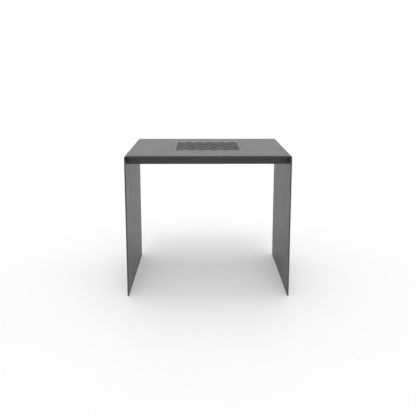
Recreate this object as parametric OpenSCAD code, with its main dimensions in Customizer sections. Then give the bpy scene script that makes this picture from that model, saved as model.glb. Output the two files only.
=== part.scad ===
// Low fire table. One thick sheet is bent into a top and two plate legs. A zigzag grate lies flush
// in the top and lifts out. Under it a shallow ember drawer carries a hanging fire pan.
// Origin: on the floor, at the centre of the footprint. +X right, -Y front, +Z up. Millimetres.

/* [Table] */
// Overall width, from the outside of one leg to the outside of the other
table_w = 600; // [580:5:700]
// Overall depth, from the front edge to the back edge
table_d = 550; // [550:5:650]
// Overall height
table_h = 526; // [400:2:700]
// Thickness of the bent sheet and of the grate
sheet_t = 5; // [4:0.5:6]
// Inside radius of the two bends
bend_r = 2; // [1.5:0.5:5]

/* [Grate] */
// Spacing of the zigzag slots from side to side
zig_pitch = 44.6; // [43:0.2:46]
// Length of one full zigzag from front to back
zig_len = 52; // [48:0.2:52.4]
// How far a zigzag swings from side to side
zig_swing = 43; // [30:1:44]
// Width of the bars between the slots
zig_bar = 10; // [4:0.5:11]
// Number of slots
slots = 6; // [4:1:6]
// Number of whole arms in each slot, before the last short one
zig_arms = 10; // [6:2:10]
// Width of the slotted field, which trims the outer slots
field_w = 245; // [180:1:250]
// First corner of each slot, from the table's centre
field_front = -122; // [-125:1:-100]
// Solid rim around the slotted field
grate_rim = 13; // [10:1:15]
// Gap between the grate and the edge of its opening
grate_gap = 0.5; // [0.4:0.1:1.5]
// How far the ledges reach in under the grate
ledge_reach = 8; // [5:1:9]

/* [Drawer] */
// Height of the drawer front with the gap above it
front_h = 30.5; // [29:0.5:34]
// How far the drawer front sits behind the front edge of the top
front_recess = 40; // [15:1:42]
// Thickness of the drawer front and of the rear apron
front_t = 3; // [2:0.5:3]
// Gap above the drawer front and at its ends
front_gap = 2; // [0.8:0.1:2.5]
// Thickness of the tray's sheet
tray_t = 1.5; // [1:0.25:1.5]
// How far the drawer slides out
drawer_travel = 380; // [200:10:390]

/* [Fire pan] */
// Inside depth of the pan, from its rim to its floor
pan_depth = 29; // [26:1:36]
// Thickness of the pan's sheet
pan_t = 2; // [1.5:0.5:3]
// Diameter of the air holes in the pan's sides
air_hole_d = 6; // [4:1:8]
// Diameter of the rack's top bars
rack_bar_d = 4; // [3:0.5:5]

/* [Hidden] */
$fn = 48;

// Table
leg_in = table_w / 2 - sheet_t;
under_z = table_h - sheet_t;

// Zigzag slots: each arm climbs half_zig while it crosses zig_swing
half_zig = zig_len / 2;
arm_rise = half_zig / zig_swing;
slot_half = (zig_pitch - zig_bar / sin(atan(arm_rise))) / 2;
slot_cut = slot_half * arm_rise;
last_arm = 0.47;
field_back = field_front + (zig_arms + last_arm) * half_zig;

// Grate, its opening and its ledges
grate_w = field_w + 2 * grate_rim;
grate_front = field_front - grate_rim;
grate_back = field_back + slot_cut / 2 + grate_rim;
grate_d = grate_back - grate_front;
grate_y = (grate_back + grate_front) / 2;
grate_corner = 4;
ledge_w = 20;
ledge_t = 3;
ledge_x = grate_w / 2 - ledge_reach;
ledge_front_y = grate_front + ledge_reach;
ledge_back_y = grate_back - ledge_reach;

// Drawer front and rear apron, folded to the same section
front_y = -table_d / 2 + front_recess;
back_y = -front_y;
front_z = under_z - front_h;
front_lip = 12;
front_bend = 1.5;

// Runners: angles bolted to studs on the legs
runner_t = 2;
runner_flange = 25;
runner_h = 21;
runner_z = front_z + 1;
runner_front = front_y + 19;
runner_back = back_y - 15;
runner_stud_z = runner_z + 12.5;
runner_stud_ys = [-200, 0, 200];

// Tray: it slides on the runners, and its rear wall meets the stops
slide_gap = 0.3;
tray_z = runner_z + runner_t + slide_gap;
tray_x = leg_in - 13;
tray_front = front_y + front_t;
tray_back = back_y - front_t - 6;
tray_bend = 1.5;
tray_rear_h = under_z - ledge_t - 0.5 - tray_z;
tray_wall_h = tray_rear_h - 5;
tray_relief = 3.5;
tray_flap = 20;

// Stops: small angles on studs under the top, outboard of the ledges
stop_x = 215;
stop_t = 2;
stop_w = 20;
stop_reach = 17;
stop_bend = 1.5;
stop_drop = under_z - tray_z - tray_wall_h - 1.1;
stop_y = tray_back - tray_t - drawer_travel - slide_gap;
stop_stud_y = stop_y - 10.2;

// Bumpers between the closed tray and the rear apron
bumper_x = 200;
bumper_z = tray_z + 7.5;
bumper_d = 12;

// Pan: a dish with sloping sides that hangs by its flange in a cut-out of the tray
pan_x = 120;
pan_y = 135;
pan_low_x = 80;
pan_low_y = 86;
pan_flange = 13;
pan_corner = 8;
pan_gap = 3;
pan_z = tray_z + tray_t;
pan_floor_z = pan_z + pan_t - pan_depth;
pan_lean_x = (pan_x - pan_low_x) / pan_depth;
pan_lean_y = (pan_y - pan_low_y) / pan_depth;
air_holes = 7;
air_hole_pitch = 30;
air_hole_z = pan_floor_z + 17;

// Rack: bars welded across two rods, on four feet that stand on the pan's floor
rack_rod_d = 5;
rack_rod_z = pan_floor_z + 4 + rack_rod_d / 2;
rack_bar_z = rack_rod_z + rack_rod_d / 2 + rack_bar_d / 2 - 1;
rack_bars = 13;
rack_pitch = 13.5;
rack_len = 190;
rack_rod_len = 166;
rack_rod_y = 64;
rack_foot_x = 66;

// Studs and nuts
m5 = 5;
m4 = 4;
hole_play = 0.5;
stud_len = 10;
panel_stud_xs = [-250, -90, 90, 250];
panel_stud_z = tray_z + 7.7;

// A rectangle centred on the origin with round corners
module rounded_rect(w, d, r) {
  union() {
    square([w - 2 * r, d], center = true);
    square([w, d - 2 * r], center = true);
    for (sx = [-1, 1])
      for (sy = [-1, 1])
        translate([sx * (w / 2 - r), sy * (d / 2 - r)])
          circle(r);
  }
}

// An upright block that stands on the X axis, with its two top corners rounded
module arch(half, top, r) {
  union() {
    translate([-half, 0])
      square([2 * half, top - r]);
    translate([-half + r, 0])
      square([2 * half - 2 * r, top]);
    for (sx = [-1, 1])
      translate([sx * (half - r), top - r])
        circle(r);
  }
}

// A folded angle in the first quadrant, with its outside corner at the origin
module angle_section(across, up, t, r) {
  outer = r + t;
  difference() {
    union() {
      translate([outer, 0])
        square([across - outer, up]);
      translate([0, outer])
        square([across, up - outer]);
      translate([outer, outer])
        circle(outer);
    }
    translate([outer, t])
      square([across, up]);
    translate([t, outer])
      square([across, up]);
    translate([outer, outer])
      circle(r);
  }
}

// Extrudes a section drawn in X and Z along Y, from y0 to y1
module along_y(y0, y1) {
  translate([0, y1, 0])
    rotate([90, 0, 0])
      linear_extrude(height = y1 - y0)
        children();
}

// Extrudes a section drawn in Y and Z along X, centred on x = 0
module along_x(len) {
  rotate([90, 0, 90])
    linear_extrude(height = len, center = true)
      children();
}

// Repeats its children on the other side of the table
module both_sides() {
  children();
  mirror([1, 0, 0])
    children();
}

// A flange nut whose seat lies on the origin and faces -Z
module flange_nut(d) {
  difference() {
    union() {
      cylinder(h = d * 0.25, d = d * 2.1);
      cylinder(h = d * 0.95, d = d * 1.84, $fn = 6);
    }
    translate([0, 0, -1])
      cylinder(h = d + 2, d = d + 0.1);
  }
}

// Centreline of a slot: a triangle wave with a left corner at field_front
function slot_x(y) =
  let (n = (y - field_front) / half_zig, k = floor(n + 0.001), f = n - k)
  zig_swing * (k % 2 == 0 ? f - 0.5 : 0.5 - f);

// A point on one edge of a slot; side is -1 for its left edge and 1 for its right edge
function slot_edge(y, side) = [slot_x(y) + side * slot_half, y];

// A zigzag slot centred on x = 0. Its ends are cut parallel to the arms that lean to the left.
module zig_slot() {
  corner_ys = [for (k = [1:zig_arms]) field_front + k * half_zig];
  left_ys = concat([field_front + slot_cut], corner_ys, [field_back + slot_cut / 2]);
  right_ys = concat([field_front], corner_ys, [field_back - slot_cut / 2]);
  last = len(right_ys) - 1;
  polygon(concat(
    [for (y = left_ys) slot_edge(y, -1)],
    [for (i = [last:-1:0]) slot_edge(right_ys[i], 1)]
  ));
}

// Half width and half length of the pan's outside at height z
function pan_out(z) = [
  pan_low_x + (z - pan_floor_z + pan_t) * pan_lean_x,
  pan_low_y + (z - pan_floor_z + pan_t) * pan_lean_y
];

// The same for its inside: the wall is pan_t thick, measured square to its slope
function pan_in(z) = pan_out(z) - pan_t * [norm([1, pan_lean_x]), norm([1, pan_lean_y])];

// A dish-shaped block from low, its half sizes at z0, to high, its half sizes at z1
module dish(low, high, z0, z1) {
  intersection() {
    along_y(-high.y - 1, high.y + 1)
      polygon([[-low.x, z0], [low.x, z0], [high.x, z1], [-high.x, z1]]);
    along_x(2 * high.x + 2)
      polygon([[-low.y, z0], [low.y, z0], [high.y, z1], [-high.y, z1]]);
  }
}

module table_shell() color("#6b6c6e") {
  difference() {
    along_y(-table_d / 2, table_d / 2)
      difference() {
        arch(table_w / 2, table_h, bend_r + sheet_t);
        translate([0, -table_h])
          arch(leg_in, under_z + table_h, bend_r);
      }
    translate([0, grate_y, under_z - 1])
      linear_extrude(height = sheet_t + 2)
        rounded_rect(grate_w + 2 * grate_gap, grate_d + 2 * grate_gap, grate_corner + grate_gap);
  }
}

module grate() color("#68696b") {
  translate([0, 0, under_z])
    linear_extrude(height = sheet_t)
      difference() {
        translate([0, grate_y])
          rounded_rect(grate_w, grate_d, grate_corner);
        intersection() {
          translate([0, grate_y])
            square([field_w, grate_d], center = true);
          for (i = [0:slots - 1])
            translate([(i - (slots - 1) / 2) * zig_pitch, 0])
              zig_slot();
        }
      }
}

// The two ledges that run from front to back, past the ends of the cross ledges
module side_ledge(side) {
  translate([side * (ledge_x + ledge_w / 2), grate_y, under_z - ledge_t / 2])
    cube([ledge_w, ledge_back_y - ledge_front_y + 2 * ledge_w, ledge_t], center = true);
}

// The two ledges that run from side to side, between the side ledges
module cross_ledge(y0) {
  translate([-ledge_x, y0, under_z - ledge_t])
    cube([2 * ledge_x, ledge_w, ledge_t]);
}

module ledge_front() color("#4c4d4f") cross_ledge(ledge_front_y - ledge_w);

module ledge_rear() color("#4c4d4f") cross_ledge(ledge_back_y);

module ledge_left() color("#4c4d4f") side_ledge(-1);

module ledge_right() color("#4c4d4f") side_ledge(1);

// Its top corners are cut to clear the inside of the table's bends
module rear_apron() color("#3c3d3f") {
  intersection() {
    along_x(2 * leg_in)
      translate([back_y, front_z])
        mirror([1, 0])
          angle_section(front_lip, front_h, front_t, front_bend);
    along_y(back_y - front_lip - 1, back_y + 1)
      arch(leg_in, under_z, bend_r + 1);
  }
}

module closing_bumpers() color("#1d1d1d") {
  both_sides()
    translate([bumper_x, tray_back + slide_gap, bumper_z])
      rotate([-90, 0, 0])
        cylinder(h = back_y - front_t - tray_back - slide_gap, d = bumper_d);
}

// Left runner, with a clearance hole for each stud
module runner() {
  difference() {
    along_y(runner_front, runner_back)
      translate([-leg_in, runner_z])
        angle_section(runner_flange, runner_h, runner_t, runner_t);
    for (y = runner_stud_ys)
      translate([-leg_in - 1, y, runner_stud_z])
        rotate([0, 90, 0])
          cylinder(h = runner_t + 2, d = m5 + hole_play);
  }
}

module left_runner() color("#9a9c9f") runner();

module right_runner() color("#9a9c9f") mirror([1, 0, 0]) runner();

module runner_studs() color("#a8aaad") {
  both_sides()
    for (y = runner_stud_ys)
      translate([-leg_in, y, runner_stud_z])
        rotate([0, 90, 0])
          cylinder(h = stud_len, d = m5);
}

module runner_nuts() color("#a8aaad") {
  both_sides()
    for (y = runner_stud_ys)
      translate([-leg_in + runner_t, y, runner_stud_z])
        rotate([0, 90, 0])
          flange_nut(m5);
}

module drawer_stops() color("#9a9c9f") {
  both_sides()
    translate([stop_x, 0, 0])
      difference() {
        along_x(stop_w)
          translate([stop_y, under_z])
            mirror([1, 0])
              mirror([0, 1])
                angle_section(stop_reach, stop_drop, stop_t, stop_bend);
        translate([0, stop_stud_y, under_z - stop_t - 1])
          cylinder(h = stop_t + 2, d = m5 + hole_play);
      }
}

module stop_studs() color("#a8aaad") {
  both_sides()
    translate([stop_x, stop_stud_y, under_z - stud_len])
      cylinder(h = stud_len, d = m5);
}

module stop_nuts() color("#a8aaad") {
  both_sides()
    translate([stop_x, stop_stud_y, under_z - stop_t])
      rotate([180, 0, 0])
        flange_nut(m5);
}

module front_panel() color("#3c3d3f") {
  along_x(2 * (leg_in - front_gap))
    translate([front_y, front_z])
      angle_section(front_lip, front_h - front_gap, front_t, front_bend);
}

module panel_studs() color("#a8aaad") {
  for (x = panel_stud_xs)
    translate([x, tray_front, panel_stud_z])
      rotate([-90, 0, 0])
        cylinder(h = stud_len, d = m4);
}

module panel_nuts() color("#a8aaad") {
  for (x = panel_stud_xs)
    translate([x, tray_front + tray_t, panel_stud_z])
      rotate([-90, 0, 0])
        flange_nut(m4);
}

// Half of the tray's floor with one side wall
module tray_side() {
  along_y(tray_front + tray_relief, tray_back - tray_relief)
    translate([-tray_x, tray_z])
      angle_section(tray_x, tray_wall_h, tray_t, tray_bend);
}

module drawer_tray() color("#2e2f31") {
  difference() {
    union() {
      both_sides()
        tray_side();
      along_x(2 * (tray_x - tray_relief))
        translate([tray_front, tray_z])
          angle_section(tray_flap, tray_wall_h, tray_t, tray_bend);
      along_x(2 * (tray_x - tray_relief))
        translate([tray_back, tray_z])
          mirror([1, 0])
            angle_section(tray_flap, tray_rear_h, tray_t, tray_bend);
    }
    translate([0, grate_y, tray_z - 1])
      linear_extrude(height = tray_t + 2)
        rounded_rect(2 * (pan_x + pan_gap), 2 * (pan_y + pan_gap), pan_corner);
    for (x = panel_stud_xs)
      translate([x, tray_front - 1, panel_stud_z])
        rotate([-90, 0, 0])
          cylinder(h = tray_t + 2, d = m4 + hole_play);
  }
}

module fire_pan() color("#37383a") {
  rim_z = pan_z + pan_t;
  translate([0, grate_y, 0])
    difference() {
      union() {
        translate([0, 0, pan_z])
          linear_extrude(height = pan_t)
            rounded_rect(2 * (pan_x + pan_flange), 2 * (pan_y + pan_flange), pan_corner);
        dish(pan_out(pan_floor_z - pan_t), pan_out(pan_z), pan_floor_z - pan_t, pan_z);
      }
      dish(pan_in(pan_floor_z), pan_in(rim_z + 1), pan_floor_z, rim_z + 1);
      for (i = [0:air_holes - 1])
        translate([0, (i - (air_holes - 1) / 2) * air_hole_pitch, air_hole_z])
          rotate([0, 90, 0])
            cylinder(h = 2 * pan_x, d = air_hole_d, center = true);
    }
}

module fuel_rack() color("#55565a") {
  translate([0, grate_y, 0])
    union() {
      for (i = [0:rack_bars - 1])
        translate([(i - (rack_bars - 1) / 2) * rack_pitch, 0, rack_bar_z])
          rotate([90, 0, 0])
            cylinder(h = rack_len, d = rack_bar_d, center = true);
      for (side = [-1, 1])
        translate([0, side * rack_rod_y, rack_rod_z])
          rotate([0, 90, 0])
            cylinder(h = rack_rod_len, d = rack_rod_d, center = true);
      for (sx = [-1, 1])
        for (sy = [-1, 1])
          translate([sx * rack_foot_x, sy * rack_rod_y, pan_floor_z])
            cylinder(h = rack_rod_z - pan_floor_z, d = rack_rod_d);
    }
}

table_shell();
ledge_front();
ledge_rear();
ledge_left();
ledge_right();
rear_apron();
closing_bumpers();
left_runner();
right_runner();
runner_studs();
runner_nuts();
drawer_stops();
stop_studs();
stop_nuts();
grate();
front_panel();
panel_studs();
panel_nuts();
drawer_tray();
fire_pan();
fuel_rack();
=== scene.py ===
"""The looks of the fire table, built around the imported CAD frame. Metres throughout, +Z up, -Y front."""
import math

import bpy
import numpy as np
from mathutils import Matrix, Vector


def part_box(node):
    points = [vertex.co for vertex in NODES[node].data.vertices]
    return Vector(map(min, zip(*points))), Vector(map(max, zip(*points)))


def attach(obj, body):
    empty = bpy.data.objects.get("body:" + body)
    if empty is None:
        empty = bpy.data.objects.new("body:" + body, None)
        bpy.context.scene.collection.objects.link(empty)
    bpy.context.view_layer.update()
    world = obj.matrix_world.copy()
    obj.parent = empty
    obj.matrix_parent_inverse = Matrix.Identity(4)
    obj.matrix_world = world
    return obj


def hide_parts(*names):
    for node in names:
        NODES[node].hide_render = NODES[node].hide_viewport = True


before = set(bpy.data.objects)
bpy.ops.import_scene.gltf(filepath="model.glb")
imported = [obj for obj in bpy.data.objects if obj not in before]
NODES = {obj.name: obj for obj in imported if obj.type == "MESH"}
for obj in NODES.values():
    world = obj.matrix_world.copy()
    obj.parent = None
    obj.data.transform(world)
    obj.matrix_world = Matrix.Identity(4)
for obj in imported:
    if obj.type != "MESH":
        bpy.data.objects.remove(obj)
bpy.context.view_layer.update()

MM = 0.001
SEED = 7
scene = bpy.context.scene
rng = np.random.default_rng(SEED)


def middle(low, high):
    return (low + high) / 2


# Places read from the frame
GRATE_LOW, GRATE_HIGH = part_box("grate")
FIRE = middle(GRATE_LOW, GRATE_HIGH)
PAN_LOW, PAN_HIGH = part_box("fire_pan")
PAN_T = 2 * MM
PAN_FLOOR = PAN_LOW.z + PAN_T
UNDER_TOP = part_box("ledge_front")[1].z
DOWN = (0, 0, -1)

# ---------------------------------------------------------------- materials


class Surface:
    """A node material with a Principled shader, and textures measured in metres of the row frame."""

    def __init__(self, name):
        self.material = bpy.data.materials.new(name)
        self.material.use_nodes = True
        self.tree = self.material.node_tree
        self.tree.nodes.clear()
        self.out = self.tree.nodes.new("ShaderNodeOutputMaterial")
        self.shader = self.tree.nodes.new("ShaderNodeBsdfPrincipled")
        self.tree.links.new(self.shader.outputs[0], self.out.inputs[0])
        self.place = self.tree.nodes.new("ShaderNodeTexCoord").outputs["Object"]

    def feed(self, socket, value):
        if isinstance(value, bpy.types.NodeSocket):
            self.tree.links.new(value, socket)
        else:
            socket.default_value = value

    def add(self, kind, settings=None, **inputs):
        made = self.tree.nodes.new(kind)
        for key, value in (settings or {}).items():
            setattr(made, key, value)
        for key, value in inputs.items():
            self.feed(made.inputs[key.replace("_", " ")], value)
        return made

    def math(self, operation, a, b=0.0):
        made = self.add("ShaderNodeMath", {"operation": operation})
        self.feed(made.inputs[0], a)
        self.feed(made.inputs[1], b)
        return made.outputs[0]

    def stretch(self, scale):
        """Texture coordinates scaled by a different amount along X, Y and Z."""
        made = self.add("ShaderNodeMapping", {"vector_type": "POINT"}, Vector=self.place)
        made.inputs["Scale"].default_value = scale
        return made.outputs[0]

    def noise(self, scale, detail=2.0, roughness=0.5, where=None):
        made = self.add("ShaderNodeTexNoise", Scale=scale, Detail=detail, Roughness=roughness)
        self.feed(made.inputs["Vector"], where or self.place)
        return made.outputs["Fac"]

    def cells(self, scale, output="Color"):
        """Random value per cell of a Voronoi pattern."""
        made = self.add("ShaderNodeTexVoronoi", Scale=scale)
        self.feed(made.inputs["Vector"], self.place)
        return made.outputs[output]

    def remap(self, value, low, high, to_low, to_high):
        made = self.add("ShaderNodeMapRange", {"clamp": True})
        for i, v in enumerate((value, low, high, to_low, to_high)):
            self.feed(made.inputs[i], v)
        return made.outputs[0]

    def mix(self, factor, a, b):
        made = self.add("ShaderNodeMix", {"data_type": "RGBA"})
        self.feed(made.inputs["Factor"], factor)
        self.feed(made.inputs[6], a)
        self.feed(made.inputs[7], b)
        return made.outputs[2]

    def axis(self, vector, name):
        """The X, Y or Z of a vector."""
        made = self.add("ShaderNodeSeparateXYZ")
        self.feed(made.inputs[0], vector)
        return made.outputs[name]

    def facing_up(self):
        """1 on faces that look up, and 0 on walls and undersides."""
        normal = self.add("ShaderNodeNewGeometry").outputs["Normal"]
        return self.remap(self.axis(normal, "Z"), 0.35, 0.9, 0.0, 1.0)

    def edges(self, radius):
        """0 on flat faces, rising to 1 on the edges."""
        soft = self.add("ShaderNodeBevel", {"samples": 6}, Radius=radius).outputs[0]
        flat = self.add("ShaderNodeNewGeometry").outputs["Normal"]
        dot = self.add("ShaderNodeVectorMath", {"operation": "DOT_PRODUCT"})
        self.feed(dot.inputs[0], soft)
        self.feed(dot.inputs[1], flat)
        return self.remap(dot.outputs["Value"], 0.98, 0.80, 0.0, 1.0)

    def bump(self, *layers):
        """Stacks (height, strength, distance) layers of bump."""
        normal = None
        for height, strength, distance in layers:
            made = self.add("ShaderNodeBump", Height=height, Strength=strength, Distance=distance)
            if normal is not None:
                self.feed(made.inputs["Normal"], normal)
            normal = made.outputs[0]
        self.feed(self.shader.inputs["Normal"], normal)

    def base(self, colour):
        self.feed(self.shader.inputs["Base Color"], colour)

    def rough(self, value):
        self.feed(self.shader.inputs["Roughness"], value)


def grey(value, warmth=0.0):
    return (value * (1 + warmth), value, value * (1 - warmth), 1.0)


def powder_coat(name, level, rough, wear=0.4, dust=0.0, soot=0.0, heat=None):
    """Satin powder coat with orange peel, fine grain, faint handling marks and rubbed edges.

    dust is how much ash lies on faces that look up. soot darkens and browns the coat in patches.
    heat is (centre, reach): the coat is browner and duller near that point.
    """
    s = Surface(name)
    cloud = s.noise(7.0, 3.0, 0.55)
    streak = s.noise(1.0, 4.0, 0.6, s.stretch((38.0, 38.0, 2.6)))
    grain = s.noise(1900.0, 2.0, 0.6)
    tone = s.math("ADD", s.math("MULTIPLY", cloud, 0.5), s.math("MULTIPLY", streak, 0.5))
    shade = s.remap(tone, 0.30, 0.70, 0.0, 1.0)
    colour = s.mix(shade, grey(level * 0.965), grey(level * 1.035))
    speck = s.math("MULTIPLY", s.remap(grain, 0.35, 0.72, 0.0, 1.0), 0.3)
    colour = s.mix(speck, colour, grey(level * 1.4))
    roughness = s.remap(s.noise(11.0, 4.0, 0.6), 0.32, 0.7, rough - 0.025, rough + 0.03)
    if heat:
        centre, reach = heat
        away = s.add("ShaderNodeVectorMath", {"operation": "DISTANCE"})
        s.feed(away.inputs[0], s.place)
        away.inputs[1].default_value = centre
        near = s.remap(away.outputs["Value"], reach, reach * 0.3, 0.0, 1.0)
        patch = s.remap(s.noise(34.0, 4.0, 0.6), 0.3, 0.7, 0.35, 0.8)
        baked = s.math("MULTIPLY", near, patch)
        colour = s.mix(baked, colour, grey(level * 0.95, 0.04))
        roughness = s.math("ADD", roughness, s.math("MULTIPLY", baked, 0.08))
    if soot:
        film = s.remap(s.noise(18.0, 5.0, 0.6), 0.35, 0.7, 0.0, soot)
        colour = s.mix(film, colour, grey(0.012, 0.12))
        roughness = s.math("ADD", roughness, s.math("MULTIPLY", film, 0.25))
    rub = s.math("MULTIPLY", s.edges(0.0012), s.remap(s.noise(90.0, 3.0), 0.35, 0.7, 0.08, wear))
    colour = s.mix(rub, colour, grey(level * 2.0 + 0.02))
    roughness = s.math("SUBTRACT", roughness, s.math("MULTIPLY", rub, 0.1))
    if dust:
        drift = s.remap(s.noise(26.0, 6.0, 0.65), 0.42, 0.76, 0.0, dust)
        flakes = s.remap(s.noise(520.0, 3.0, 0.7), 0.5, 0.62, 0.35, 1.0)
        haze = s.math("MULTIPLY", s.math("MULTIPLY", drift, flakes), s.facing_up())
        colour = s.mix(haze, colour, grey(0.36, 0.03))
        roughness = s.math("ADD", roughness, s.math("MULTIPLY", haze, 0.3))
    s.base(colour)
    s.rough(roughness)
    s.bump((s.noise(420.0, 1.0, 0.4), 0.16, 0.00012), (grain, 0.22, 0.00004))
    return s.material


def zinc(name, level, rough, spangle):
    """Zinc plating or galvanising. spangle is the strength of its crystal flakes."""
    s = Surface(name)
    flake = s.axis(s.cells(70.0), "X")
    fine = s.noise(900.0, 3.0, 0.6)
    cloud = s.noise(22.0, 4.0, 0.6)
    shade = s.math("ADD", s.math("MULTIPLY", flake, spangle), s.math("MULTIPLY", cloud, 1 - spangle))
    dark, bright = grey(level * 0.84, -0.012), grey(level * 1.1, -0.004)
    colour = s.mix(s.remap(shade, 0.2, 0.8, 0.0, 1.0), dark, bright)
    chalk = s.remap(s.noise(41.0, 6.0, 0.7), 0.55, 0.78, 0.0, 0.4)
    colour = s.mix(chalk, colour, grey(level * 0.72, 0.015))
    rub = s.math("MULTIPLY", s.edges(0.0008), s.remap(fine, 0.3, 0.7, 0.2, 0.7))
    colour = s.mix(rub, colour, grey(level * 1.2))
    s.base(colour)
    s.shader.inputs["Metallic"].default_value = 1.0
    spread = s.remap(shade, 0.2, 0.8, rough - 0.07, rough + 0.08)
    s.rough(s.math("ADD", spread, s.math("MULTIPLY", chalk, 0.5)))
    s.bump((cloud, 0.1, 0.0002), (fine, 0.15, 0.00003))
    return s.material


def heat_paint(name):
    """Matt black stove paint inside the fire pan: scorched in patches, ash where it settles."""
    s = Surface(name)
    scorch = s.remap(s.noise(16.0, 5.0, 0.6), 0.34, 0.68, 0.0, 1.0)
    grain = s.noise(1500.0, 3.0, 0.65)
    colour = s.mix(scorch, grey(0.016), grey(0.05, 0.14))
    rust = s.math("MULTIPLY", s.edges(0.0022), s.remap(s.noise(150.0, 4.0), 0.4, 0.66, 0.0, 0.8))
    colour = s.mix(rust, colour, (0.15, 0.062, 0.028, 1.0))
    drift = s.remap(s.noise(30.0, 6.0, 0.62), 0.36, 0.64, 0.0, 0.9)
    flakes = s.remap(s.noise(430.0, 4.0, 0.7), 0.42, 0.6, 0.3, 1.0)
    low = s.remap(s.axis(s.place, "Z"), PAN_FLOOR, PAN_FLOOR + 0.010, 1.0, 0.12)
    ash = s.math("MULTIPLY", s.math("MULTIPLY", drift, flakes), s.math("MULTIPLY", low, s.facing_up()))
    colour = s.mix(ash, colour, s.mix(grain, grey(0.22, 0.03), grey(0.42, 0.02)))
    s.base(colour)
    s.rough(s.remap(scorch, 0.0, 1.0, 0.62, 0.82))
    s.bump((ash, 0.5, 0.0006), (s.noise(300.0, 3.0), 0.2, 0.00015), (grain, 0.3, 0.00005))
    return s.material


def scaled_steel(name):
    """Bare steel that has been red hot many times: blue-grey mill scale, brown flakes and ash."""
    s = Surface(name)
    scale = s.noise(48.0, 5.0, 0.62)
    flakes = s.remap(s.noise(380.0, 4.0, 0.7), 0.44, 0.6, 0.0, 1.0)
    blue, brown = (0.045, 0.048, 0.056, 1.0), (0.115, 0.085, 0.07, 1.0)
    colour = s.mix(s.remap(scale, 0.34, 0.66, 0.0, 1.0), blue, brown)
    patch = s.math("MULTIPLY", flakes, s.remap(s.noise(90.0, 3.0), 0.4, 0.62, 0.0, 0.85))
    colour = s.mix(patch, colour, (0.16, 0.075, 0.038, 1.0))
    ash = s.math("MULTIPLY", s.facing_up(), s.remap(s.noise(210.0, 5.0, 0.7), 0.42, 0.68, 0.0, 0.6))
    colour = s.mix(ash, colour, grey(0.34, 0.02))
    s.base(colour)
    s.shader.inputs["Metallic"].default_value = 0.35
    s.rough(s.remap(scale, 0.3, 0.7, 0.5, 0.75))
    s.bump((flakes, 0.25, 0.0002), (s.noise(1100.0, 2.0), 0.25, 0.00006))
    return s.material


def rubber(name):
    """Moulded black rubber with a dusty bloom."""
    s = Surface(name)
    bloom = s.remap(s.noise(260.0, 5.0, 0.65), 0.4, 0.72, 0.0, 0.5)
    colour = s.mix(bloom, grey(0.016), grey(0.055, 0.02))
    rub = s.math("MULTIPLY", s.edges(0.0008), 0.35)
    s.base(s.mix(rub, colour, grey(0.08)))
    s.rough(s.remap(bloom, 0.0, 0.5, 0.68, 0.88))
    s.bump((s.noise(1400.0, 3.0), 0.25, 0.00004), (s.noise(220.0, 2.0), 0.1, 0.0001))
    return s.material


# ---------------------------------------------------------------- finishing the CAD nodes


SOFT_EDGE = 0.4 * MM
SAME_POINT = 0.01 * MM
SAME_PLANE = math.radians(0.5)
SHARP_EDGE = math.radians(32)


def finish_node(name, material):
    """Gives a CAD node its material, and rounds its edges as cutting and coating leave them."""
    o = NODES[name]
    o.data.materials.clear()
    o.data.materials.append(material)
    weld = o.modifiers.new("join", "WELD")
    weld.merge_threshold = SAME_POINT
    flat = o.modifiers.new("flat", "DECIMATE")
    flat.decimate_type = "DISSOLVE"
    flat.angle_limit = SAME_PLANE
    bevel = o.modifiers.new("soft_edges", "BEVEL")
    bevel.width = SOFT_EDGE
    bevel.segments = 2
    bevel.limit_method = "ANGLE"
    bevel.angle_limit = SHARP_EDGE
    normals = o.modifiers.new("normals", "WEIGHTED_NORMAL")
    normals.keep_sharp = False
    o.data.shade_smooth()


COAT = powder_coat("coated_plate", 0.052, 0.46)
GRATE_COAT = powder_coat("grate_plate", 0.074, 0.46, heat=(FIRE, 0.19))
# The drawer coat is the plate coat made darker: its lower tone is painted shade for the recessed front
# panel, and the rear apron and its welds share it.
SHADED_DRAWER_COAT = powder_coat("drawer_coat", 0.041, 0.47)
LEDGE_COAT = powder_coat("ledge_coat", 0.034, 0.52, soot=0.7)
TRAY_COAT = powder_coat("tray_coat", 0.03, 0.5, dust=0.5, soot=0.3)
PAN_PAINT = heat_paint("pan_paint")
RACK_STEEL = scaled_steel("rack_steel")
SHEET_ZINC = zinc("galvanised_sheet", 0.5, 0.36, 0.75)
BRIGHT_ZINC = zinc("bright_zinc", 0.58, 0.27, 0.15)
RUBBER = rubber("bumper_rubber")

KEPT_NODES = {
    "table_shell": COAT,
    "ledge_front": LEDGE_COAT,
    "ledge_rear": LEDGE_COAT,
    "ledge_left": LEDGE_COAT,
    "ledge_right": LEDGE_COAT,
    "rear_apron": SHADED_DRAWER_COAT,
    "left_runner": SHEET_ZINC,
    "right_runner": SHEET_ZINC,
    "drawer_stops": SHEET_ZINC,
    "grate": GRATE_COAT,
    "front_panel": SHADED_DRAWER_COAT,
    "drawer_tray": TRAY_COAT,
    "fire_pan": PAN_PAINT,
    "fuel_rack": RACK_STEEL,
}
for node_name, node_material in KEPT_NODES.items():
    finish_node(node_name, node_material)

# ---------------------------------------------------------------- made pieces


def islands(name):
    """(lowest corner, highest corner) of each separate solid in a CAD node."""
    mesh = NODES[name].data
    co = np.array([v.co for v in mesh.vertices], float)
    keys = {}
    same = [keys.setdefault(tuple(np.round(c, 6)), i) for i, c in enumerate(co)]
    parent = list(range(len(co)))

    def root(i):
        while parent[i] != i:
            parent[i] = parent[parent[i]]
            i = parent[i]
        return i

    for i, j in enumerate(same):
        parent[root(i)] = root(j)
    for edge in mesh.edges:
        parent[root(edge.vertices[0])] = root(edge.vertices[1])
    groups = {}
    for i in range(len(co)):
        groups.setdefault(root(i), []).append(co[i])
    return [(Vector(np.min(g, axis=0)), Vector(np.max(g, axis=0))) for g in groups.values()]


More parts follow.
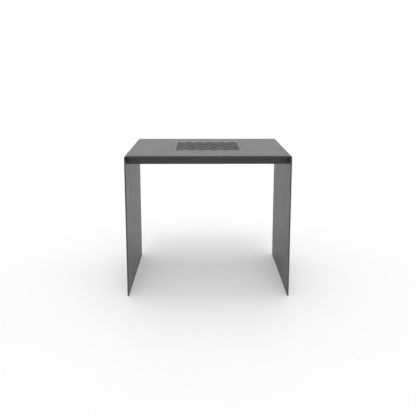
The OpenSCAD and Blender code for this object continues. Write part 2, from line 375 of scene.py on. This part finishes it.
class Solid:
    """Collects vertices and faces of closed shapes, then makes one mesh object of them."""

    def __init__(self):
        self.verts = []
        self.faces = []

    def grid(self, rows, hollow=False):
        """rows are rings of points. The ends are capped, or joined to each other if hollow."""
        base = len(self.verts)
        n = len(rows[0])
        for ring in rows:
            self.verts.extend(ring)
        loops = len(rows) if hollow else len(rows) - 1
        for r in range(loops):
            low = base + r * n
            high = base + (r + 1) % len(rows) * n
            for k in range(n):
                j = (k + 1) % n
                self.faces.append((low + k, low + j, high + j, high + k))
        if not hollow:
            self.faces.append(tuple(base + k for k in range(n - 1, -1, -1)))
            last = base + (len(rows) - 1) * n
            self.faces.append(tuple(last + k for k in range(n)))

    def turned(self, rings, origin, axis, hollow=False):
        """rings are lists of radii and a height each, turned about axis from origin."""
        turn = Vector(axis).to_track_quat("Z", "Y")
        rows = []
        for radii, height in rings:
            step = 2 * math.pi / len(radii)
            ring = []
            for k, r in enumerate(radii):
                point = Vector((r * math.cos(k * step), r * math.sin(k * step), height))
                ring.append(tuple(origin + turn @ point))
            rows.append(ring)
        self.grid(rows, hollow)

    def object(self, name, material, body, sharp=35):
        mesh = bpy.data.meshes.new(name)
        mesh.from_pydata(self.verts, [], self.faces)
        mesh.validate()
        mesh.materials.append(material)
        mesh.shade_smooth()
        mesh.set_sharp_from_angle(angle=math.radians(sharp))
        o = bpy.data.objects.new(name, mesh)
        scene.collection.objects.link(o)
        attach(o, body)
        return o


THREAD_AROUND = 24
NUT_AROUND = 48


def stud_rings(d, pitch, length):
    """A threaded welding stud: a plain root, a rolled thread and a chamfered tip."""
    plain = 0.9 * MM
    depth = 0.6 * pitch
    tip = 0.7 * MM
    rings = [([d / 2] * THREAD_AROUND, 0.0)]
    steps = int((length - plain) / (pitch / 6))
    for i in range(steps + 1):
        z = plain + (length - plain) * i / steps
        cap = d / 2 - max(0.0, z - (length - tip))
        fade = min(1.0, (z - plain) / pitch)
        radii = []
        for k in range(THREAD_AROUND):
            turn = (z / pitch - k / THREAD_AROUND) % 1.0
            wave = max(0.0, min(1.0, 1.25 * (1 - abs(2 * turn - 1)) - 0.125))
            radii.append(min(cap, d / 2 - depth * fade * wave))
        rings.append((radii, z))
    return rings


def nut_rings(d):
    """A hexagon flange nut from its seat up, with the chamfers that cut its corners to arcs."""
    flange_r = 1.05 * d
    flange_h = 0.25 * d
    corner_r = 0.92 * d
    top = 0.95 * d
    bore = d / 2 + 0.05 * MM
    flat_r = corner_r * math.cos(math.pi / 6)

    def round_ring(r, z):
        return ([r] * NUT_AROUND, z)

    def hex_ring(limit, z):
        radii = []
        for k in range(NUT_AROUND):
            a = (2 * math.pi * k / NUT_AROUND) % (math.pi / 3) - math.pi / 6
            radii.append(min(limit, flat_r / math.cos(a)))
        return (radii, z)

    return [
        round_ring(bore + 0.35 * MM, 0.0),
        round_ring(flange_r - 0.15 * MM, 0.0),
        round_ring(flange_r, 0.15 * MM),
        round_ring(flange_r, 0.45 * flange_h),
        round_ring(flange_r - 0.12 * MM, 0.58 * flange_h),
        round_ring(corner_r + 0.05 * MM, flange_h),
        hex_ring(corner_r, flange_h + 0.02 * MM),
        hex_ring(corner_r, top - 0.09 * d),
        hex_ring(0.89 * d, top - 0.06 * d),
        hex_ring(0.85 * d, top - 0.025 * d),
        hex_ring(flat_r - 0.01 * d, top),
        round_ring(bore + 0.4 * MM, top),
        round_ring(bore, top - 0.4 * MM),
        round_ring(bore, 0.35 * MM),
    ]


def studs(name, axis_of, d, pitch, body):
    """Threaded studs in place of a CAD node of plain ones. axis_of gives each stud's direction."""
    solid = Solid()
    for low, high in islands(name):
        axis = axis_of(middle(low, high))
        half = Vector([abs(a) * (h - l) / 2 for a, h, l in zip(axis, high, low)])
        length = 2 * half.length
        root = middle(low, high) - axis * half.length
        solid.turned(stud_rings(d, pitch, length), root, axis)
    made = solid.object(name + "_threaded", BRIGHT_ZINC, body, sharp=60)
    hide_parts(name)


def nuts(name, axis_of, d, body):
    """Flange nuts in place of a CAD node of plain ones. axis_of points from each seat outwards."""
    solid = Solid()
    for low, high in islands(name):
        axis = axis_of(middle(low, high))
        span = sum(abs(a) * (h - l) for a, h, l in zip(axis, high, low))
        seat = middle(low, high) - axis * span / 2
        solid.turned(nut_rings(d), seat, axis, hollow=True)
    made = solid.object(name + "_flanged", BRIGHT_ZINC, body)
    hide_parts(name)


def inward(point):
    """From a leg towards the middle of the table."""
    return Vector((-1.0, 0, 0)) if point.x > 0 else Vector((1.0, 0, 0))


def down(_point):
    return Vector((0, 0, -1.0))


def backward(_point):
    return Vector((0, 1.0, 0))


M5, M5_PITCH = 5 * MM, 0.8 * MM
M4, M4_PITCH = 4 * MM, 0.7 * MM
studs("runner_studs", inward, M5, M5_PITCH, "table")
nuts("runner_nuts", inward, M5, "table")
studs("stop_studs", down, M5, M5_PITCH, "table")
nuts("stop_nuts", down, M5, "table")
studs("panel_studs", backward, M4, M4_PITCH, "drawer")
nuts("panel_nuts", backward, M4, "drawer")


def bumpers():
    """Moulded bumpers with a rounded rim and a dimple in the face that meets the tray."""
    solid = Solid()
    around = 40
    for low, high in islands("closing_bumpers"):
        r = (high.z - low.z) / 2
        length = high.y - low.y
        root = Vector(((low.x + high.x) / 2, high.y, (low.z + high.z) / 2))
        rows = [
            (r - 0.2 * MM, 0.0),
            (r, 0.25 * MM),
            (r, length - 1.6 * MM),
            (r - 0.25 * MM, length - 0.8 * MM),
            (r - 0.8 * MM, length - 0.25 * MM),
            (r - 1.6 * MM, length),
            (0.5 * r, length),
            (0.42 * r, length - 0.25 * MM),
            (0.2 * r, length - 0.6 * MM),
        ]
        solid.turned([([radius] * around, z) for radius, z in rows], root, (0, -1, 0))
    made = solid.object("bumpers_moulded", RUBBER, "table")
    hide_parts("closing_bumpers")


bumpers()


def bead(solid, start, end, across, up, size):
    """A rippled fillet weld from start to end, in the corner between two plates.

    across and up point along the two plates, away from the corner. The bead's root bites a little
    into both plates, its ripples wander, and it tapers off at each end.
    """
    start, end, across, up = Vector(start), Vector(end), Vector(across), Vector(up)
    length = (end - start).length
    along = (end - start) / length
    profile = 7
    step = 0.45 * MM
    ripple = 1.7 * MM
    taper = 1.6 * MM
    bite = 0.25 * MM
    count = max(8, int(length / step))
    wander = rng.uniform(0, 6.28)
    rows = []
    for i in range(count + 1):
        t = length * i / count
        end_fade = math.sqrt(max(0.0, min(1.0, (min(t, length - t) + 0.15 * MM) / taper)))
        wave = (t / ripple + 0.08 * math.sin(t / (6 * MM) + wander)) % 1.0
        reach = size * end_fade * (0.9 + 0.1 * math.sin(math.pi * wave))
        reach *= 1 + 0.03 * math.sin(t / (4.1 * MM) + wander)
        ring = [start + along * t - (across + up) * bite]
        for k in range(profile):
            a = math.pi / 2 * k / (profile - 1)
            swell = 0.80 + 0.20 * abs(math.cos(2 * a))
            lag = along * (0.5 * MM * math.sin(2 * a))
            point = across * math.cos(a) + up * math.sin(a)
            ring.append(start + along * t - lag * end_fade + point * reach * swell)
        rows.append([tuple(p) for p in ring])
    solid.grid(rows)


def stitches(solid, start, end, count, length, across, up, size):
    """Stitch welds, count of them, evenly spaced between two points."""
    start, end = Vector(start), Vector(end)
    along = (end - start).normalized()
    for i in range(count):
        centre = start.lerp(end, (i + 0.5) / count)
        bead(solid, centre - along * length / 2, centre + along * length / 2, across, up, size)


def ledge_welds():
    """Stitches that hold the four ledges to the underside of the top."""
    solid = Solid()
    size = 2.6 * MM
    length = 32 * MM
    for name, side in (("ledge_left", -1), ("ledge_right", 1)):
        low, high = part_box(name)
        x = low.x if side < 0 else high.x
        start, end = (x, low.y, UNDER_TOP), (x, high.y, UNDER_TOP)
        stitches(solid, start, end, 4, length, (side, 0, 0), DOWN, size)
    for name, side in (("ledge_front", -1), ("ledge_rear", 1)):
        low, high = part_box(name)
        y = low.y if side < 0 else high.y
        start, end = (low.x, y, UNDER_TOP), (high.x, y, UNDER_TOP)
        stitches(solid, start, end, 3, length, (0, side, 0), DOWN, size)
    solid.object("ledge_welds", LEDGE_COAT, "table", sharp=80)


def apron_welds():
    """Stitches along the top and the ends of the rear apron, on its inner face."""
    solid = Solid()
    low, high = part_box("rear_apron")
    apron_t = 3 * MM
    end_gap = 20 * MM
    corner_gap = 6 * MM
    forward = (0, -1, 0)
    size = 2.3 * MM
    y = high.y - apron_t
    start, end = (low.x + end_gap, y, UNDER_TOP), (high.x - end_gap, y, UNDER_TOP)
    stitches(solid, start, end, 5, 30 * MM, forward, DOWN, size)
    for x, side in ((low.x, 1), (high.x, -1)):
        start, end = (x, y, low.z + corner_gap), (x, y, high.z - corner_gap)
        bead(solid, start, end, forward, (side, 0, 0), size)
    solid.object("apron_welds", SHADED_DRAWER_COAT, "table", sharp=80)


RACK_BAR_D = 4 * MM


def rack_crossings():
    """X of each bar, Y of each rod, and the height where they meet, from the CAD rack's box."""
    low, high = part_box("fuel_rack")
    count = 13
    rod_reach = 64 * MM
    sunk = 1 * MM
    pitch = (high.x - low.x - RACK_BAR_D) / (count - 1)
    bars = [(i - (count - 1) / 2) * pitch for i in range(count)]
    rods = [middle(low, high).y + side * rod_reach for side in (-1, 1)]
    return bars, rods, high.z - RACK_BAR_D + sunk


def rack_welds():
    """Small resistance-weld nuggets where each bar crosses a rod."""
    solid = Solid()
    bars, rods, z = rack_crossings()
    around = 12
    tall = 7
    for x in bars:
        for y in rods:
            for side in (-1, 1):
                r = rng.uniform(1.2, 1.55) * MM
                centre = Vector((x + side * RACK_BAR_D * 0.48, y + rng.uniform(-0.3, 0.3) * MM, z))
                rings = []
                for i in range(tall):
                    a = math.pi * (i + 0.5) / tall - math.pi / 2
                    rings.append(([r * math.cos(a)] * around, 0.75 * r * math.sin(a)))
                solid.turned(rings, centre, (0, 0, 1))
    solid.object("rack_welds", RACK_STEEL, "drawer", sharp=80)


def pan_welds():
    """Corner seams on the outside of the pan, which is folded from one sheet."""
    solid = Solid()
    near = 0.1 * MM
    flange_edge = 9 * MM
    co = np.array([v.co for v in NODES["fire_pan"].data.vertices], float)
    bottom = co[co[:, 2] < PAN_LOW.z + near]
    flange_under = PAN_HIGH.z - PAN_T
    centre = middle(PAN_LOW, PAN_HIGH)
    half = np.array((PAN_HIGH - PAN_LOW)[:2]) / 2
    inside = np.abs(co[:, :2] - centre[:2]) < half - flange_edge
    top = co[(np.abs(co[:, 2] - flange_under) < near) & inside.all(axis=1)]
    for sx in (-1, 1):
        for sy in (-1, 1):
            ends = []
            for ring in (bottom, top):
                x = ring[:, 0].max() if sx > 0 else ring[:, 0].min()
                y = ring[:, 1].max() if sy > 0 else ring[:, 1].min()
                ends.append(Vector((x, y, ring[0, 2])))
            start = ends[0].lerp(ends[1], 0.04)
            end = ends[0].lerp(ends[1], 0.9)
            bead(solid, start, end, (sx, 0, 0), (0, sy, 0), 1.5 * MM)
    solid.object("pan_welds", PAN_PAINT, "drawer", sharp=80)


ledge_welds()
apron_welds()
rack_welds()
pan_welds()

# ---------------------------------------------------------------- floor, light and camera


FLOOR_HALF = 30.0
FLOOR_ALBEDO = 0.80
FLOOR_GLOW = 0.2
# (azimuth, elevation, sharpness, strength) of each soft light; azimuth 0 is behind the camera
LIGHTS = [
    (0, 90, 0, 0.5),
    (0, 50, 30, 3.9),
    (0, 62, 30, 0.9),
    (180, 80, 30, 2.5),
    (180, 50, 30, 1.3),
    (180, 4, 9, 0.9),
]


def floor():
    """A plain pale floor, a little bright in itself so that it runs into the white behind it."""
    mesh = bpy.data.meshes.new("floor")
    h = FLOOR_HALF
    mesh.from_pydata([(-h, -h, 0), (h, -h, 0), (h, h, 0), (-h, h, 0)], [], [(0, 1, 2, 3)])
    o = bpy.data.objects.new("floor", mesh)
    scene.collection.objects.link(o)
    s = Surface("pale_floor")
    cloud = s.noise(1.3, 4.0, 0.55)
    s.base(s.mix(cloud, grey(FLOOR_ALBEDO - 0.01), grey(FLOOR_ALBEDO + 0.01)))
    s.rough(s.remap(s.noise(160.0, 3.0), 0.3, 0.7, 0.72, 0.82))
    s.shader.inputs["Specular IOR Level"].default_value = 0.2
    s.shader.inputs["Emission Color"].default_value = (1, 1, 1, 1)
    s.shader.inputs["Emission Strength"].default_value = FLOOR_GLOW
    mesh.materials.append(s.material)


def studio(lights):
    """A world of broad soft lights, each a smooth lobe about its direction."""
    world = bpy.data.worlds.new("studio")
    world.use_nodes = True
    tree = world.node_tree
    tree.nodes.clear()
    direction = tree.nodes.new("ShaderNodeTexCoord").outputs["Generated"]

    def math_node(operation, a, b):
        made = tree.nodes.new("ShaderNodeMath")
        made.operation = operation
        for socket, value in zip(made.inputs, (a, b)):
            if isinstance(value, bpy.types.NodeSocket):
                tree.links.new(value, socket)
            else:
                socket.default_value = value
        return made.outputs[0]

    total = None
    for azimuth, elevation, sharpness, strength in lights:
        az, el = math.radians(azimuth), math.radians(elevation)
        dot = tree.nodes.new("ShaderNodeVectorMath")
        dot.operation = "DOT_PRODUCT"
        tree.links.new(direction, dot.inputs[0])
        level = math.cos(el)
        dot.inputs[1].default_value = (math.sin(az) * level, -math.cos(az) * level, math.sin(el))
        fall = math_node("MULTIPLY", math_node("SUBTRACT", dot.outputs["Value"], 1.0), sharpness)
        lobe = math_node("MULTIPLY", math_node("EXPONENT", fall, 0.0), strength)
        total = lobe if total is None else math_node("ADD", total, lobe)
    background = tree.nodes.new("ShaderNodeBackground")
    background.inputs["Color"].default_value = (1, 1, 1, 1)
    # What the camera sees directly is plain white, so that the floor has no visible end.
    seen = tree.nodes.new("ShaderNodeLightPath").outputs["Is Camera Ray"]
    lit = math_node("MULTIPLY", total, math_node("SUBTRACT", 1.0, seen))
    tree.links.new(math_node("ADD", lit, seen), background.inputs["Strength"])
    out = tree.nodes.new("ShaderNodeOutputWorld")
    tree.links.new(background.outputs[0], out.inputs[0])
    scene.world = world


floor()
studio(LIGHTS)
scene.view_settings.view_transform = "Standard"
scene.view_settings.look = "None"

# The camera stands where a perspective fit of the table's edges puts the photograph's
CAMERA_PLACE = (-0.0200, -2.6115, 0.8473)
CAMERA_PITCH = math.radians(77.664)
CAMERA_YAW = math.radians(-0.476)
CAMERA_LENS = 57.16
camera_data = bpy.data.cameras.new("camera")
camera_data.lens = CAMERA_LENS
camera_data.sensor_width = 36
camera = bpy.data.objects.new("camera", camera_data)
camera.location = CAMERA_PLACE
camera.rotation_euler = (CAMERA_PITCH, 0, CAMERA_YAW)
scene.collection.objects.link(camera)
scene.camera = camera
